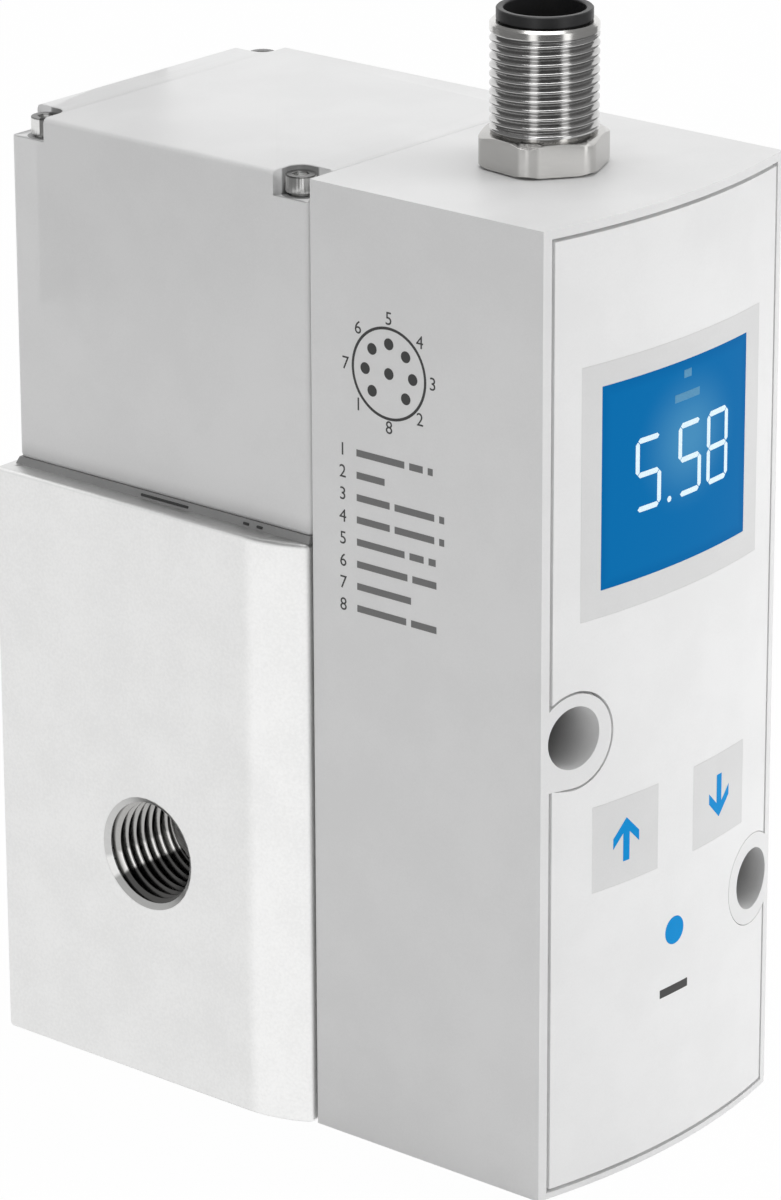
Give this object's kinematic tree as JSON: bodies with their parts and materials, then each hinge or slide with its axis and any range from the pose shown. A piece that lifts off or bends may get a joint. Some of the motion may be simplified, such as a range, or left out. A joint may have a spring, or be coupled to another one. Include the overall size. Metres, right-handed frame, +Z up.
{
  "type": "electro-pneumatic regulator",
  "caption": "Light grey electro-pneumatic pressure regulator: air-ported valve block, pilot housing, display face with push keys and a round screw connector on top.",
  "frame": {"origin": "centre of the bounding box's footprint, on the plane that the block stands on", "axes": "+Z up, towards the connector; the display faces -Y; the air ports face -X and +X"},
  "size_m": [0.0474, 0.0808, 0.1293],
  "materials": {
    "painted_light_grey": "die cast, painted light grey, satin",
    "cast_light_grey": "cast and painted light grey, satin",
    "panel_white": "near-white smooth panel",
    "key_grey": "light grey, satin",
    "dot_blue": "bright blue, satin",
    "screen_blue": "dark blue window",
    "nickel": "nickel-plated, bright turned",
    "steel": "zinc-plated",
    "gold_pin": "gold-plated",
    "black_plastic": "black, moulded",
    "black_rubber": "black, dull",
    "board_green": "green circuit board",
    "turned_aluminium": "bare, turned"
  },
  "bodies": {
    "regulator": {"bottom_plug": "turned_aluminium", "capacitor_1": "turned_aluminium", "capacitor_2": "turned_aluminium", "connector_insert": "black_plastic", "connector_nut": "nickel", "connector_pin_1": "gold_pin", "connector_pin_2": "gold_pin", "connector_pin_3": "gold_pin", "connector_pin_4": "gold_pin", "connector_pin_5": "gold_pin", "connector_pin_6": "gold_pin", "connector_pin_7": "gold_pin", "connector_pin_8": "gold_pin", "connector_seal": "black_rubber", "connector_shell": "nickel", "display_board": "board_green", "display_frame": "key_grey", "display_module": "black_plastic", "display_screen": "screen_blue", "down_key_switch": "black_plastic", "edit_key_switch": "black_plastic", "front_housing": "painted_light_grey", "front_panel": "panel_white", "front_screw_1": "steel", "front_screw_2": "steel", "main_board": "board_green", "pilot_board": "board_green", "pilot_manifold": "turned_aluminium", "pilot_pole_1": "steel", "pilot_pole_2": "steel", "pilot_valve_1": "black_plastic", "pilot_valve_2": "black_plastic", "plug_seal": "black_rubber", "poppet_spring": "steel", "pressure_sensor": "steel", "processor": "black_plastic", "rear_gasket": "black_rubber", "rear_housing": "painted_light_grey", "rear_screw_1": "steel", "rear_screw_2": "steel", "rear_screw_3": "steel", "rear_screw_4": "steel", "up_key_switch": "black_plastic", "valve_body": "cast_light_grey"},
    "up_key": {"up_key": "key_grey"},
    "down_key": {"down_key": "key_grey"},
    "edit_key": {"edit_key": "dot_blue"},
    "piston": {"control_piston": "turned_aluminium", "piston_seal": "black_rubber"},
    "poppet": {"main_poppet": "turned_aluminium"},
    "plunger_1": {"pilot_plunger_1": "steel"},
    "plunger_2": {"pilot_plunger_2": "steel"}
  },
  "joints": [
    {"name": "up_key_press", "type": "slide", "parent": "regulator", "child": "up_key", "axis": [0, 1, 0], "range_m": [0, 0.0005], "stiffness_N_per_m": 800, "springref_m": -0.0005},
    {"name": "down_key_press", "type": "slide", "parent": "regulator", "child": "down_key", "axis": [0, 1, 0], "range_m": [0, 0.0005], "stiffness_N_per_m": 800, "springref_m": -0.0005},
    {"name": "edit_key_press", "type": "slide", "parent": "regulator", "child": "edit_key", "axis": [0, 1, 0], "range_m": [0, 0.0005], "stiffness_N_per_m": 800, "springref_m": -0.0005},
    {"name": "piston_slide", "type": "slide", "parent": "regulator", "child": "piston", "axis": [0, 0, 1], "range_m": [-0.0015, 0]},
    {"name": "poppet_slide", "type": "slide", "parent": "regulator", "child": "poppet", "axis": [0, 0, 1], "range_m": [-0.0015, 0], "stiffness_N_per_m": 900, "springref_m": 0.002, "deforming": ["poppet_spring"]},
    {"name": "plunger_1_slide", "type": "slide", "parent": "regulator", "child": "plunger_1", "axis": [0, 0, 1], "range_m": [0, 0.0006], "stiffness_N_per_m": 300, "springref_m": -0.001},
    {"name": "plunger_2_slide", "type": "slide", "parent": "regulator", "child": "plunger_2", "axis": [0, 0, 1], "range_m": [0, 0.0006], "stiffness_N_per_m": 300, "springref_m": -0.001}
  ],
  "couplings": [
    {"joint": "poppet_slide", "follows": "piston_slide", "ratio": 1}
  ]
}
